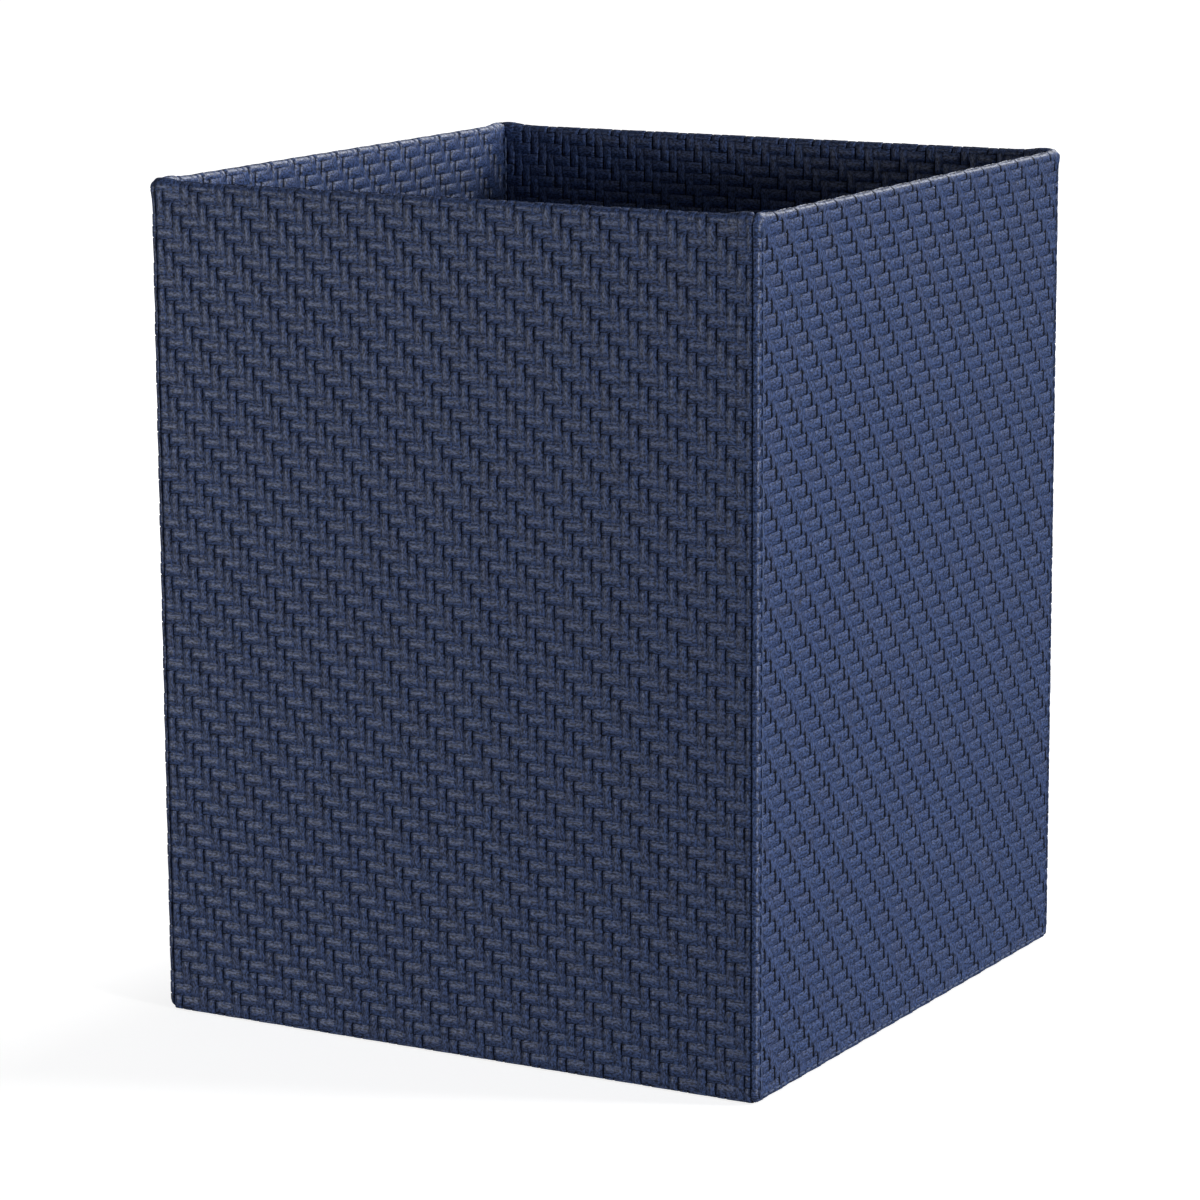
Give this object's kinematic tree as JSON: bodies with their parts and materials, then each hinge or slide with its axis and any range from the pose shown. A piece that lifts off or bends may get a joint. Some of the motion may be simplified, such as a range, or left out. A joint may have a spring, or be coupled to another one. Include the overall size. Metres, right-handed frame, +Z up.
{
  "type": "fabric storage bin",
  "caption": "Tall square open-topped storage bin with stiff walls covered in navy woven-look leathercloth, rolled rims and a lift-out base insert.",
  "frame": {"origin": "middle of the underside, on the plane the bin stands on", "axes": "+Z up through the open top, -Y towards the front panel, +X towards the right panel"},
  "size_m": [0.305, 0.305, 0.381],
  "materials": {
    "woven_cover": "satin",
    "stiff_board": "matte",
    "sewing_thread": "matte"
  },
  "bodies": {
    "walls": {"front_board": "stiff_board", "back_board": "stiff_board", "left_board": "stiff_board", "right_board": "stiff_board", "front_cover": "woven_cover", "back_cover": "woven_cover", "left_cover": "woven_cover", "right_cover": "woven_cover", "left_topstitch": "sewing_thread", "right_topstitch": "sewing_thread", "front_left_seam": "sewing_thread", "front_right_seam": "sewing_thread", "back_left_seam": "sewing_thread", "back_right_seam": "sewing_thread", "bottom_cloth": "woven_cover", "bottom_seam": "sewing_thread"},
    "base_insert": {"base_insert_board": "stiff_board", "base_insert_cover": "woven_cover", "base_insert_topstitch": "sewing_thread"}
  },
  "joints": [
    {"name": "insert_lift", "type": "slide", "parent": "walls", "child": "base_insert", "axis": [0, 0, 1], "range_m": [0, 0.4]}
  ]
}
